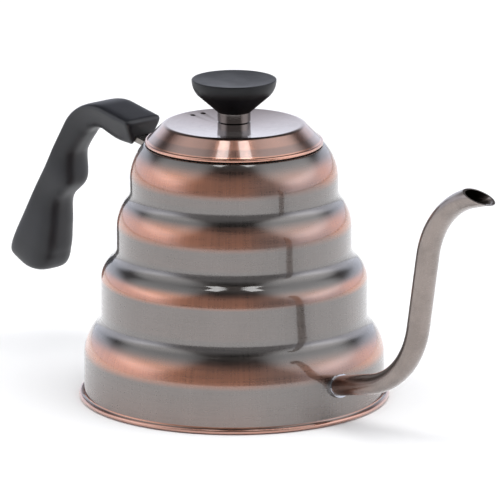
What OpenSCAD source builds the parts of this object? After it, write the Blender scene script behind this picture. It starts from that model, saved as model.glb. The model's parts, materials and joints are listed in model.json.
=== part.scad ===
/* [Body] */
// Outer radius of the lowest and widest bulge
body_r = 69.8; // [60:0.1:90]
// Sheet thickness of the body and of the base pan
sheet = 0.7; // [0.5:0.1:1.2]
// Height of the first crease above the table
bulge_1_h = 36.1; // [30:0.1:48]
// Height from the first crease to the second
bulge_2_h = 30.7; // [24:0.1:40]
// Height from the second crease to the third
bulge_3_h = 28.1; // [22:0.1:38]
// Height from the third crease to the mouth
bulge_4_h = 24; // [18:0.1:34]
// How far the second bulge steps in from the first
step_1 = 7.9; // [5:0.1:10]
// How far the third bulge steps in from the second
step_2 = 7.4; // [5:0.1:10]
// How far the top bulge steps in from the third
step_3 = 6.2; // [4:0.1:9]
// How far the mouth edge steps in from the top bulge
step_4 = 6.3; // [4:0.1:9]
// Radius of the shoulder of the first bulge
shoulder_1_r = 21.3; // [13:0.1:26]
// Radius of the shoulder of the second bulge
shoulder_2_r = 13.2; // [9.5:0.1:20]
// Radius of the shoulder of the third bulge
shoulder_3_r = 21; // [12:0.1:26]
// Radius of the shoulder of the top bulge
shoulder_4_r = 23.4; // [14:0.1:28]
// Radius of the hollow curve where a shoulder runs into the next bulge
crease_r = 8; // [5:0.1:10]
// How far the mouth lip turns in from the mouth edge
lip_turn = 2.1; // [1.5:0.1:3]
// Depth of the turned-down mouth lip
lip_depth = 7; // [4:0.5:12]

/* [Base pan] */
// How far the rolled seam stands out from the lowest bulge
seam_out = 2.5; // [1.8:0.1:4]
// Gap between the layers of the rolled seam
seam_gap = 0.1; // [0.05:0.05:0.2]
// Width of the ring that the kettle stands on
foot_ring_w = 6; // [3:0.5:12]
// Height of the raised middle of the base
base_raise = 1.2; // [0.4:0.1:3]

/* [Spout] */
// Thickness of the oval spout tube in its own plane
spout_in = 9.4; // [7:0.1:13]
// Width of the oval spout tube across its plane
spout_across = 11.8; // [9:0.1:16]
// Wall of the spout tube
spout_wall = 0.8; // [0.5:0.1:1.5]
// Height of the spout root above the table
spout_root_z = 17.4; // [13:0.1:22]
// Slope of the spout where it leaves the body
spout_slope = 13; // [5:1:25]
// Straight length at the root
spout_run = 21; // [8:0.1:35]
// Centre radius of the lower bend
spout_bend_1_r = 40; // [20:1:50]
// Slope of the rising length
spout_rise_slope = 80.6; // [70:0.1:88]
// Length of the rising length
spout_rise = 34.8; // [20:0.1:60]
// Centre radius of the upper bend
spout_bend_2_r = 40; // [20:1:50]
// Slope of the spout at its tip
spout_tip_slope = 16; // [5:1:30]
// Straight length after the upper bend, on the underside of the tip
spout_tip_run = 10.8; // [6:0.1:20]
// Slope of the tip's oblique cut, downwards to the lip
tip_cut_slope = 16; // [5:1:30]
// How far the root ring stands out from the tube
ferrule_out = 0.8; // [0.6:0.1:2.5]
// Length of the root ring
ferrule_len = 1.5; // [1.2:0.1:4]
// How far the tube reaches in through the wall
spout_inside = 1; // [0.5:0.1:3]

/* [Handle] */
// Gap from the top bulge to the end face of the handle
handle_gap = 12.1; // [8:0.1:20]
// Height of the end face's top edge above the mouth edge
handle_rise = 2.3; // [-3:0.1:6]
// Slope of the strap at its end, upwards to the back
strap_slope = 11.5; // [5:1:25]
// Straight length of the strap
strap_len = 19.7; // [14:0.1:30]
// Outer radius of the bend from strap to grip
handle_bend_r = 25; // [18:0.5:35]
// Slope of the grip below the bend
grip_slope = 58.5; // [45:0.5:75]
// Straight length of the grip's back
grip_len = 65.5; // [50:0.5:80]
// Radius of the curve near the grip's foot
grip_foot_r = 60; // [40:1:120]
// How much the back steepens near the grip's foot
grip_foot_turn = 4; // [0:1:20]
// Width of the handle's outer face
handle_w = 24.4; // [20:0.1:30]
// Length of the rounded foot of the grip
grip_cap = 12; // [8:0.5:14]

/* [Handle fixing] */
// Width of the bracket's bar
bar_w = 9.6; // [8:0.1:12]
// Thickness of the bracket's bar
bar_t = 2.5; // [2:0.1:3.5]
// Depth of the bar's top face below the strap's top face
bar_depth = 8.4; // [7.5:0.1:9]
// Length of the bar inside the handle
bar_in = 24; // [21:0.5:28]
// Clearance around the bar in its recess
bar_clear = 0.2; // [0.1:0.05:0.4]
// Thickness of the pad that is welded to the body
pad_t = 1.2; // [0.8:0.1:2]
// Width of the pad
pad_w = 22; // [14:0.5:30]
// Height of the pad
pad_h = 14; // [8:0.5:18]
// Radius of the handle screws
screw_r = 2; // [1.5:0.1:2.5]
// Distance of the first screw from the handle's end face
screw_1_at = 7; // [6:0.5:8]
// Distance between the two screws
screw_pitch = 11; // [9:0.5:12]

/* [Lid] */
// Clearance between the lid skirt and the mouth
lid_clear = 0.4; // [0.2:0.05:0.8]
// Gap between the lid bead and the mouth lip
lid_rest_gap = 0.25; // [0.2:0.05:0.6]
// Sheet thickness of the lid
lid_sheet = 0.6; // [0.4:0.1:1]
// Radius of the rolled bead's section
bead_r = 1; // [0.9:0.05:1.5]
// Width of the lid's sloping band, seen from above
cone_w = 6.9; // [5:0.1:11]
// Slope of the lid's band
cone_slope = 45; // [35:1:55]
// Radius of the fold between the band and the top
fold_r = 3; // [1.5:0.1:4]
// How much the middle of the top lies below the fold
dish = 2.6; // [0.5:0.1:3]
// Depth of the skirt below the lid's bead
skirt_depth = 9.2; // [6:0.1:14]
// Width of the skirt's flange under the band
flange_w = 3.6; // [2:0.1:5]
// Diameter of each vent hole
vent_d = 2.5; // [1.5:0.1:4]
// Distance of the vent holes from the lid's axis
vent_at = 26.5; // [18:0.1:28]
// Distance between the two vent holes
vent_pitch = 6.1; // [5:0.1:10]
// Direction of the vent holes, counted from the spout
vent_turn = 176; // [0:1:359]

/* [Knob] */
// Radius of the knob's rim
knob_r = 19.6; // [16:0.1:25]
// Height of the knob
knob_h = 15.4; // [13:0.1:20]
// Radius of the curve under the knob's rim
knob_curve_r = 9.8; // [5:0.1:12]
// Depth of the knob's hollow top
knob_dish = 0.9; // [0.3:0.1:2]
// Radius of the steel collars
collar_r = 7.65; // [6:0.05:9]
// Height of the upper collar
collar_upper_h = 4.2; // [2.5:0.1:6]
// Height of the lower collar
collar_lower_h = 3.7; // [2.5:0.1:6]
// Width of the groove between the collars
collar_groove = 0.7; // [0.3:0.1:1]
// Depth of that groove
collar_neck_in = 1.4; // [0.5:0.1:2]
// Radius of the knob screw
knob_screw_r = 2; // [1.5:0.1:2.5]
// Length of the knob screw inside the knob
knob_screw_in = 8; // [6:0.5:9]
// Radius of the knob's brass insert
insert_r = 3; // [2.8:0.1:3.5]

/* [Hidden] */
$fn = 96;
past = 1;            // how far a cutting shape runs past what it cuts
arc_steps = 12;      // straight pieces in each curve of an outline

// The four bulges from the foot up: outer radius, shoulder radius, step to the next, crease height
bulges = [
    [body_r, shoulder_1_r, step_1, bulge_1_h],
    [body_r - step_1, shoulder_2_r, step_2, bulge_1_h + bulge_2_h],
    [body_r - step_1 - step_2, shoulder_3_r, step_3, bulge_1_h + bulge_2_h + bulge_3_h],
    [body_r - step_1 - step_2 - step_3, shoulder_4_r, step_4,
        bulge_1_h + bulge_2_h + bulge_3_h + bulge_4_h]
];
top_bulge_r = bulges[3][0];
mouth_edge_r = top_bulge_r - step_4;
mouth_edge_z = bulges[3][3];

// Points on an arc of a circle with the given centre, from one angle to another
function arc(centre, r, from, to) =
    [for (i = [0 : arc_steps]) let (a = from + (to - from) * i / arc_steps)
        centre + r * [cos(a), sin(a)]];

// Angle at which a shoulder reaches its crease, for an outline moved inwards by d
function crease_angle(b, d) = acos((b[1] - b[2] - d) / (b[1] - d));
// Height at which a shoulder meets its straight wall
function spring_z(b) = b[3] - b[1] * sin(crease_angle(b, 0));
// One bulge's shoulder, from its straight wall to its crease
function shoulder(b, d) = arc([b[0] - b[1], spring_z(b)], b[1] - d, 0, crease_angle(b, d));

// A shoulder with its crease, the hollow curve that leads up into the next bulge's wall
function hollow_angle(b) = acos((b[1] - b[2] + crease_r) / (b[1] + crease_r));
function creased(b, d) =
    let (a = hollow_angle(b), centre = [b[0] - b[1], spring_z(b)])
        concat(arc(centre, b[1] - d, 0, a),
            arc(centre + (b[1] + crease_r) * [cos(a), sin(a)], crease_r + d, 180 + a, 180));

// The mouth lip turns over from the slope of the top shoulder to straight down
lip_angle = crease_angle(bulges[3], 0);
lip_r = lip_turn / (1 + cos(lip_angle));
mouth_r = mouth_edge_r - lip_turn;
lip_centre = [mouth_r + lip_r, mouth_edge_z - lip_r * sin(lip_angle)];
lip_top_z = lip_centre[1] + lip_r;

// Layers of the rolled seam at the foot, from the table up
flange_z = sheet + seam_gap;
seam_h = 3 * sheet + 2 * seam_gap;
seam_r = body_r + seam_out;
flare_r = 0.6 * seam_out;

// Outline of the body of revolution up to the mouth edge, moved inwards by d
function wall_line(d) = [for (b = bulges) each b == bulges[3] ? shoulder(b, d) : creased(b, d)];

// Solid inside the body's outer face, moved inwards by d
module body_solid(d, foot_z) {
    rotate_extrude()
        polygon(concat([[0, foot_z], [body_r - d, foot_z]], wall_line(d),
            [[0, wall_line(d)[len(wall_line(d)) - 1][1]]]));
}

// ---------------------------------------------------------------- body
module body_shell() {
    flange_top = flange_z + sheet;
    flange_r = seam_r - sheet - seam_gap;
    outer = concat(
        [[flange_r, flange_z], [flange_r, flange_top]],
        arc([body_r + flare_r, flange_top + flare_r], flare_r, 270, 180),
        wall_line(0),
        arc(lip_centre, lip_r, lip_angle, 180),
        [[mouth_r, lip_top_z - lip_depth]]);
    inner = concat(
        arc([body_r + flare_r, flange_top + flare_r], flare_r + sheet, 270, 180),
        wall_line(sheet),
        arc(lip_centre, lip_r - sheet, lip_angle, 180),
        [[mouth_r + sheet, lip_top_z - lip_depth]]);
    color("peru")
        difference() {
            rotate_extrude()
                polygon(concat(outer, [for (i = [len(inner) - 1 : -1 : 0]) inner[i]]));
            at_spout_root()
                translate([0, 0, -wall_reach])
                    linear_extrude(2 * wall_reach)
                        oval(0);
        }
}

module base_pan() {
    edge = seam_h / 2;
    pan_r = body_r - sheet - seam_gap;
    color("chocolate")
        rotate_extrude()
            difference() {
                union() {
                    polygon([
                        [0, base_raise], [pan_r - foot_ring_w - 2 * base_raise, base_raise],
                        [pan_r - foot_ring_w, 0], [seam_r - edge, 0],
                        [seam_r - edge, sheet], [pan_r - foot_ring_w, sheet],
                        [pan_r - foot_ring_w - 2 * base_raise, base_raise + sheet],
                        [0, base_raise + sheet]]);
                    difference() {
                        translate([seam_r - edge, edge])
                            circle(edge);
                        translate([seam_r - 3 * edge, -past])
                            square([2 * edge, seam_h + 2 * past]);
                    }
                }
                translate([body_r - past, sheet])
                    square([seam_r - sheet - body_r + past, seam_h - 2 * sheet]);
            }
}

// ---------------------------------------------------------------- paths
// A path lies in the plane y = 0. A point on it is [x, z, heading], with the heading counted
// from +x towards +z. Each leg of a path is [length, radius], turning left, or straight at radius 0.
function go(p, s, r) =
    r == 0 ? [p[0] + s * cos(p[2]), p[1] + s * sin(p[2]), p[2]]
    : let (to = p[2] + s / r * 180 / PI)
        [p[0] + r * (sin(to) - sin(p[2])), p[1] - r * (cos(to) - cos(p[2])), to];
function along(p, legs, s, i = 0) =
    i == len(legs) - 1 || s <= legs[i][0] ? go(p, s, legs[i][1])
    : along(go(p, legs[i][0], legs[i][1]), legs, s - legs[i][0], i + 1);
function path_len(legs, i = 0) = i == len(legs) ? 0 : legs[i][0] + path_len(legs, i + 1);
function arc_len(turn, r) = abs(turn * r) * PI / 180;
// A point beside the path: q to its left, y across
function beside(p, q, y) = [p[0] - q * sin(p[2]), y, p[1] + q * cos(p[2])];

// Closed skin over rings of points; a looped one joins its last ring to its first
module skin(rings, looped) {
    n = len(rings[0]);
    m = len(rings);
    ends = looped ? [] : [[for (i = [0 : n - 1]) i], [for (i = [n - 1 : -1 : 0]) (m - 1) * n + i]];
    polyhedron(
        points = [for (r = rings) each r],
        faces = concat(ends,
            [for (j = [0 : m - (looped ? 1 : 2)], i = [0 : n - 1])
                let (k = (i + 1) % n, a = j * n, b = (j + 1) % m * n)
                    each [[a + i, b + k, a + k], [a + i, b + i, b + k]]]));
}

// ---------------------------------------------------------------- spout
oval_step = 15;
spout_legs = [
    [spout_inside + sheet + spout_run, 0],
    [arc_len(spout_rise_slope - spout_slope, spout_bend_1_r), spout_bend_1_r],
    [spout_rise, 0],
    [arc_len(spout_rise_slope - spout_tip_slope, spout_bend_2_r), -spout_bend_2_r],
    [spout_tip_run, 0]
];
spout_start = go([body_r, spout_root_z, spout_slope], -spout_inside - sheet, 0);
spout_len = path_len(spout_legs);
// Past the lip, so that the oblique cut takes the whole end off
spout_spare = 4;
tip_cutter = [60, 40, 40];
tip_cutter_back = 40;
// How far a shape at the root reaches to each side of the body's wall
wall_reach = 6;
lip = beside(along(spout_start, spout_legs, spout_len), -spout_in / 2, 0);

// The spout's oval section, larger by grow all round; x lies in the spout's own plane
module oval(grow) {
    polygon([for (a = [0 : oval_step : 359])
        [(spout_in / 2 + grow) * cos(a), (spout_across / 2 + grow) * sin(a)]]);
}

// The same section as a ring across the spout's path
function spout_ring(s, grow) =
    let (p = along(spout_start, spout_legs, s))
        [for (a = [0 : oval_step : 359])
            beside(p, -(spout_in / 2 + grow) * cos(a), (spout_across / 2 + grow) * sin(a))];

// One step along a straight leg, even steps along a bend
bend_step = 4.5;
function leg_steps(leg) = leg[1] == 0 ? 1 : ceil(leg[0] / bend_step);
spout_stations = [
    for (i = [0 : len(spout_legs) - 1])
        let (from = path_len([for (j = [0 : 1 : i - 1]) spout_legs[j]]), n = leg_steps(spout_legs[i]))
            for (k = [0 : n - 1]) from + spout_legs[i][0] * k / n,
    spout_len + spout_spare
];

// Puts its children where the spout leaves the body, with z along the tube
module at_spout_root() {
    translate([body_r, 0, spout_root_z])
        rotate([0, 90 - spout_slope, 0])
            children();
}

module spout_tube() {
    last = len(spout_stations) - 1;
    color("rosybrown")
        difference() {
            skin(concat(
                [for (s = spout_stations) spout_ring(s, 0)],
                [for (i = [last : -1 : 0]) spout_ring(spout_stations[i], -spout_wall)]), true);
            translate(lip)
                rotate([0, tip_cut_slope, 0])
                    translate([-tip_cutter_back, -tip_cutter[1] / 2, 0])
                        cube(tip_cutter);
        }
}

module spout_ferrule() {
    shy = 0.4;
    color("silver")
        difference() {
            at_spout_root()
                difference() {
                    union() {
                        translate([0, 0, -wall_reach])
                            linear_extrude(wall_reach + ferrule_len - shy)
                                oval(ferrule_out);
                        translate([0, 0, ferrule_len - 2 * shy])
                            linear_extrude(2 * shy)
                                oval(ferrule_out - shy);
                    }
                    translate([0, 0, -wall_reach - past])
                        linear_extrude(wall_reach + ferrule_len + 2 * past)
                            oval(0);
                }
            cylinder(r = body_r, h = bulge_1_h, $fn = 360);
        }
}

// ---------------------------------------------------------------- handle
strap_x = -(top_bulge_r + handle_gap);
strap_z = mouth_edge_z + handle_rise;
strap_arc = arc_len(strap_slope + grip_slope, handle_bend_r);
back_start = [strap_x, strap_z, 180 - strap_slope];
back_legs = [
    [strap_len, 0],
    [strap_arc, handle_bend_r],
    [grip_len, 0],
    [arc_len(grip_foot_turn, grip_foot_r), grip_foot_r],
    [grip_cap, 0]
];
handle_end = path_len(back_legs);
grip_end = handle_end - grip_cap;
grip_start = strap_len + strap_arc;

// Shape along the handle: distance from the end face, depth, half width of the inner side
finger_line = [
    [0, 14, 5.6],
    [0.6 * strap_len, 15.2, 5.6],
    [strap_len, 14.4, 5.6],
    [grip_start, 10, 5.4],
    [grip_start + 0.21 * grip_len, 8.3, 5.8],
    [grip_start + 0.43 * grip_len, 15.2, 8],
    [grip_start + 0.61 * grip_len, 12.4, 7.2],
    [grip_start + 0.82 * grip_len, 18.4, 9],
    [grip_start + grip_len, 23.2, 10.5],
    [handle_end, 25, 11.5]
];

// Slope of value k at entry i: level at a hill, at a hollow and at both ends
function chord(k, i) =
    (finger_line[i + 1][k] - finger_line[i][k]) / (finger_line[i + 1][0] - finger_line[i][0]);
function slope_at(k, i) =
    i == 0 || i == len(finger_line) - 1 ? 0
    : let (a = chord(k, i - 1), b = chord(k, i)) a * b <= 0 ? 0 : 2 * a * b / (a + b);
// Value k of the finger line at distance s, on one smooth curve through all the entries
function finger(s, k, i = 0) =
    i >= len(finger_line) - 2 || s <= finger_line[i + 1][0]
        ? let (a = finger_line[i], b = finger_line[i + 1], d = b[0] - a[0], x = min(1, (s - a[0]) / d),
            y = 1 - x)
            a[k] * (1 + 2 * x) * y * y + b[k] * (1 + 2 * y) * x * x
                + d * x * y * (slope_at(k, i) * y - slope_at(k, i + 1) * x)
        : finger(s, k, i + 1);

// The rounded foot draws the section in, and so does the rounding of the end face
end_round = 2.4;
cap_power = 2.8;
cap_lean = 0.4;
cap_wide = 0.5;
function cap_at(s) = s <= grip_end ? 1 : pow(1 - pow((s - grip_end) / grip_cap, cap_power), 1 / cap_power);
function bevel_at(s) =
    let (x = max(0, 1 - s / end_round)) end_round * (1 - sqrt(1 - x * x));

// Squareness of the section's outer and inner sides
outer_power = 0.36;
inner_power = 0.62;
section_steps = 28;
function power(x, e) = sign(x) * pow(abs(x), e);
// One ring of the handle: flat wide outer side, narrow round inner side
function handle_ring(s) =
    let (p = along(back_start, back_legs, s), c = cap_at(s), b = bevel_at(s),
        depth = finger(s, 1), inner = finger(s, 2))
    [for (i = [0 : section_steps - 1])
        let (a = 360 * i / section_steps, e = cos(a) > 0 ? outer_power : inner_power,
            q = depth * (0.5 - cap_lean * (1 - c)) - (depth / 2 * c - b) * power(cos(a), e),
            w = handle_w / 2 + (inner - handle_w / 2) * q / depth)
        beside(p, q, (w * pow(c, cap_wide) - b) * power(sin(a), e))];

ring_gap = 3.2;
ring_count = floor(grip_end / ring_gap);
handle_stations = concat(
    [for (a = [90 : -22.5 : 22.5]) end_round * (1 - sin(a))],
    [for (i = [1 : ring_count]) i * grip_end / ring_count],
    [for (a = [15 : 12 : 75]) grip_end + grip_cap * sin(a)],
    [grip_end + 0.99 * grip_cap]);

module handle_form() {
    skin([for (s = handle_stations) handle_ring(s)], false);
}

// Puts its children at the strap's end face: -x along the strap, -z into its depth
module in_strap() {
    translate([strap_x, 0, strap_z])
        rotate([0, strap_slope, 0])
            children();
}

insert_wall = 0.9;
insert_cover = 2.6;
handle_insert_r = screw_r + insert_wall;
handle_insert_len = bar_depth - insert_cover;
recess_h = 8;
bar_out = 20;
head_r = screw_r * 1.85;
thread_shy = 0.02;

// Places of the two handle screws, on the top face of the bar
module at_handle_screws() {
    in_strap()
        for (i = [0, 1])
            translate([-screw_1_at - i * screw_pitch, 0, -bar_depth])
                children();
}

module handle_grip() {
    color([0.12, 0.12, 0.13])
        difference() {
            handle_form();
            in_strap()
                translate([-bar_in - bar_clear, -bar_w / 2 - bar_clear, -bar_depth - recess_h])
                    cube([bar_in + bar_clear + past, bar_w + 2 * bar_clear, recess_h + bar_clear]);
            at_handle_screws()
                cylinder(r = handle_insert_r, h = handle_insert_len + 0.3);
        }
}

module handle_inserts() {
    color("gold")
        at_handle_screws()
            translate([0, 0, bar_clear])
                difference() {
                    cylinder(r = handle_insert_r, h = handle_insert_len - bar_clear);
                    translate([0, 0, -past])
                        cylinder(r = screw_r, h = handle_insert_len + 2 * past);
                }
}

module handle_screws() {
    hex_r = 1.3;
    hex_depth = 1.2;
    end_gap = 0.6;
    color("lightgray")
        at_handle_screws()
            difference() {
                union() {
                    translate([0, 0, -bar_t])
                        cylinder(r = screw_r - thread_shy, h = bar_t + handle_insert_len - end_gap);
                    translate([0, 0, -bar_t])
                        cylinder(r1 = head_r, r2 = screw_r - thread_shy, h = bar_t - end_gap);
                }
                translate([0, 0, -bar_t - past])
                    cylinder(r = hex_r, h = past + hex_depth, $fn = 6);
            }
}

module handle_bracket() {
    color("silver") {
        difference() {
            union() {
                in_strap()
                    translate([-bar_in, -bar_w / 2, -bar_depth - bar_t])
                        cube([bar_in + bar_out, bar_w, bar_t]);
                intersection() {
                    body_solid(-pad_t, 0);
                    in_strap()
                        translate([handle_gap - 2, -pad_w / 2, -bar_depth - bar_t / 2 - pad_h / 2])
                            cube([bar_out, pad_w, pad_h]);
                }
            }
            body_solid(0, 0);
            at_handle_screws()
                translate([0, 0, -bar_t - 0.05]) {
                    cylinder(r = screw_r + 0.1, h = bar_t + past);
                    cylinder(r1 = head_r + 0.1, r2 = screw_r + 0.1, h = bar_t - 0.55);
                }
        }
    }
}

// ---------------------------------------------------------------- lid
bead_mid_r = mouth_r + bead_r * 0.4;
bead_z = lip_top_z + lid_rest_gap + bead_r;
cone_foot = [bead_mid_r, bead_z + bead_r - 0.1];
fold_foot = [bead_mid_r - cone_w, cone_foot[1] + cone_w * tan(cone_slope)];
dish_slope = atan(dish / (fold_foot[0] - collar_r - 2));
// The fold starts where its arc leaves the band
fold_centre = fold_foot - fold_r * [sin(cone_slope), cos(cone_slope)];
fold_top = fold_centre + fold_r * [-sin(dish_slope), cos(dish_slope)];
lid_top_z = fold_top[1] - (fold_top[0] - collar_r - 1) * tan(dish_slope);

function lid_line(d) = concat(
    [[cone_foot[0] - d * sin(cone_slope), cone_foot[1] - d * cos(cone_slope)]],
    arc(fold_centre, fold_r - d, 90 - cone_slope, 90 + dish_slope),
    [[collar_r + 1, lid_top_z - d], [0, lid_top_z - d]]);

module lid_cover() {
    hole_reach = 6;
    screw_hole_gap = 0.2;
    inner = lid_line(lid_sheet);
    color("peru")
        difference() {
            rotate_extrude()
                union() {
                    polygon(concat(lid_line(0), [for (i = [len(inner) - 1 : -1 : 0]) inner[i]]));
                    translate([bead_mid_r, bead_z])
                        circle(bead_r);
                }
            translate([0, 0, lid_top_z - hole_reach])
                cylinder(r = knob_screw_r + screw_hole_gap, h = 2 * hole_reach);
            for (side = [-1, 1])
                rotate([0, 0, vent_turn + side * asin(vent_pitch / 2 / vent_at)])
                    translate([vent_at, 0, lid_top_z - hole_reach])
                        cylinder(d = vent_d, h = 2 * hole_reach);
        }
}

module lid_skirt() {
    skirt_r = mouth_r - lid_clear;
    // Height of the band's underside at radius r
    function under(r) = cone_foot[1] + (bead_mid_r - r) * tan(cone_slope) - lid_sheet / cos(cone_slope);
    thick = lid_sheet / cos(cone_slope);
    in_r = skirt_r - lid_sheet;
    low = bead_z - skirt_depth;
    color("silver")
        rotate_extrude()
            difference() {
                polygon([
                    [in_r, low], [skirt_r, low], [skirt_r, under(skirt_r)],
                    [skirt_r - flange_w, under(skirt_r - flange_w)],
                    [skirt_r - flange_w, under(skirt_r - flange_w) - thick],
                    [in_r, under(in_r) - thick]]);
                translate([bead_mid_r, bead_z])
                    circle(bead_r);
            }
}

// ---------------------------------------------------------------- knob
collar_lower_z = lid_top_z;
collar_upper_z = collar_lower_z + collar_lower_h;
knob_z = collar_upper_z + collar_upper_h;
knob_top_z = knob_z + knob_h;

module knob() {
    rim = 0.5;
    // Slope of the underside below the rim's curve
    line_h = knob_h - rim;
    reach = knob_r - collar_r;
    flank = 45;
    curve_in = knob_curve_r * (1 - cos(flank));
    curve_down = knob_curve_r * sin(flank);
    color([0.13, 0.13, 0.14])
        difference() {
            rotate_extrude()
                polygon(concat(
                    [[0, knob_z], [collar_r, knob_z]],
                    [[knob_r - curve_in, knob_top_z - rim - curve_down]],
                    arc([knob_r - knob_curve_r, knob_top_z - rim], knob_curve_r, -flank, 0),
                    arc([knob_r - rim, knob_top_z - rim], rim, 0, 90),
                    [for (i = [1 : arc_steps]) let (x = 1 - i / arc_steps)
                        [(knob_r - 2 * rim) * x, knob_top_z - knob_dish * (1 - x * x)]]));
            translate([0, 0, knob_z - past])
                cylinder(r = insert_r, h = knob_screw_in + 1 + past);
        }
}

module knob_insert() {
    color("gold")
        translate([0, 0, knob_z])
            difference() {
                cylinder(r = insert_r, h = knob_screw_in + 0.8);
                translate([0, 0, -past])
                    cylinder(r = knob_screw_r, h = knob_screw_in + 0.4 + past);
            }
}

// A steel collar with a neck on its upper end that makes the groove
module collar(z, h, neck) {
    color("silver")
        translate([0, 0, z])
            difference() {
                union() {
                    cylinder(r = collar_r, h = h - neck);
                    cylinder(r = collar_r - collar_neck_in, h = h);
                }
                translate([0, 0, -past])
                    cylinder(r = knob_screw_r + washer_gap, h = h + 2 * past);
            }
}

module knob_collar_upper() {
    collar(collar_upper_z, collar_upper_h, 0);
}

module knob_collar_lower() {
    collar(collar_lower_z, collar_lower_h, collar_groove);
}

washer_t = 0.8;
washer_gap = 0.15;
lock_t = 1;
knob_washer_z = lid_top_z - lid_sheet - washer_t;
knob_lock_z = knob_washer_z - lock_t;

module knob_washer() {
    color("lightgray")
        translate([0, 0, knob_washer_z])
            difference() {
                cylinder(r = 2.5 * knob_screw_r, h = washer_t);
                translate([0, 0, -past])
                    cylinder(r = knob_screw_r + washer_gap, h = washer_t + 2 * past);
            }
}

// Split spring washer
module knob_lock_washer() {
    split_turn = 20;
    split_w = 0.6;
    color("gray")
        translate([0, 0, knob_lock_z])
            difference() {
                cylinder(r = 1.8 * knob_screw_r, h = lock_t);
                translate([0, 0, -past])
                    cylinder(r = knob_screw_r + washer_gap, h = lock_t + 2 * past);
                rotate([0, 0, split_turn])
                    translate([0, -split_w / 2, -past])
                        cube([2 * knob_screw_r, split_w, lock_t + 2 * past]);
            }
}

module knob_screw() {
    head_h = 2.6;
    slot_w = 0.8;
    slot_len = 3.8;
    slot_depth = 1.5;
    color("lightgray")
        translate([0, 0, knob_lock_z])
            difference() {
                union() {
                    cylinder(r = knob_screw_r - thread_shy, h = knob_z - knob_lock_z + knob_screw_in);
                    translate([0, 0, -head_h])
                        cylinder(r = 1.75 * knob_screw_r, h = head_h);
                }
                for (a = [0, 90])
                    rotate([0, 0, a])
                        translate([-slot_w / 2, -slot_len / 2, -head_h - past])
                            cube([slot_w, slot_len, past + slot_depth]);
            }
}

body_shell();
base_pan();
spout_tube();
spout_ferrule();
handle_bracket();
handle_grip();
handle_inserts();
handle_screws();
lid_cover();
lid_skirt();
knob();
knob_insert();
knob_collar_upper();
knob_collar_lower();
knob_screw();
knob_washer();
knob_lock_washer();
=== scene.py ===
import json
import math

import bmesh
import bpy
import numpy as np
from mathutils import Matrix, Vector


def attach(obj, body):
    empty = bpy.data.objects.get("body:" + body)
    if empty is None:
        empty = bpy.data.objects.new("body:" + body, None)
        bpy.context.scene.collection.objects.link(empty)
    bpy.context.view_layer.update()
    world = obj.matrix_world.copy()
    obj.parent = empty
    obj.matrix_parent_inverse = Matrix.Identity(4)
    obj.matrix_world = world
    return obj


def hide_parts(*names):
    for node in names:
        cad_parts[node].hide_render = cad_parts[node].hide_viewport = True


# A gooseneck kettle: four copper bulges, bronze spout, black handle and knob, steel stem.
# Lengths are in metres; +x points along the spout, and the base rests on z = 0.

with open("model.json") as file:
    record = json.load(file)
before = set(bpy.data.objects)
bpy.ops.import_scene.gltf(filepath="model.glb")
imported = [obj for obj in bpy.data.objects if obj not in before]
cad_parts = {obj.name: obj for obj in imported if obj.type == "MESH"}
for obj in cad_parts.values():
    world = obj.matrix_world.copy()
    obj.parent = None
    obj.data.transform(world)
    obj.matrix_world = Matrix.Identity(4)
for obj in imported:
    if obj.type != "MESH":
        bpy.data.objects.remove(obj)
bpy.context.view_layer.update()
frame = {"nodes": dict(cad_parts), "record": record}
mm = 0.001
# How far a cutting shape runs past what it cuts, in mm
past = 1


# ---------------------------------------------------------------- small helpers
def rgb(hex_code):
    """Linear colour from an sRGB hex code such as "b08070"."""
    parts = [int(hex_code[i : i + 2], 16) / 255 for i in (0, 2, 4)]
    linear = [c / 12.92 if c <= 0.04045 else ((c + 0.055) / 1.055) ** 2.4 for c in parts]
    return (*linear, 1.0)


def add_node(tree, kind, settings=None, inputs=None, output=0):
    """Adds one node and gives back one of its outputs.

    Settings are its properties; inputs are numbers or other nodes' outputs, by name or place."""
    node = tree.nodes.new(kind)
    for name, value in (settings or {}).items():
        setattr(node, name, value)
    for key, value in (inputs or {}).items():
        if isinstance(value, bpy.types.NodeSocket):
            tree.links.new(value, node.inputs[key])
        else:
            node.inputs[key].default_value = value
    return node.outputs[output] if node.outputs else None


# Settings that come up in several trees
plus = {"operation": "ADD"}
minus = {"operation": "SUBTRACT"}
times = {"operation": "MULTIPLY"}
larger = {"operation": "MAXIMUM"}
size_of = {"operation": "ABSOLUTE"}
blend = {"data_type": "RGBA"}
tinted = {"data_type": "RGBA", "blend_type": "MULTIPLY"}
soft_step = {"interpolation_type": "SMOOTHSTEP"}


def span(value, low, high, to_low=0.0, to_high=1.0):
    """The inputs of a soft step from one range to another."""
    return {"Value": value, "From Min": low, "From Max": high, "To Min": to_low, "To Max": to_high}


def speckle(vector, scale, detail=3.0, roughness=0.6):
    """The inputs of a noise texture."""
    return {"Vector": vector, "Scale": scale, "Detail": detail, "Roughness": roughness}


def new_material(name):
    """An empty material; returns it with its tree and its Principled shader."""
    material = bpy.data.materials.new(name)
    material.use_nodes = True
    return material, material.node_tree, material.node_tree.nodes["Principled BSDF"]


def fit(tree, shader, sockets):
    """Sets or links the shader's own sockets."""
    for name, value in sockets.items():
        if isinstance(value, bpy.types.NodeSocket):
            tree.links.new(value, shader.inputs[name])
        else:
            shader.inputs[name].default_value = value


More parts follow.
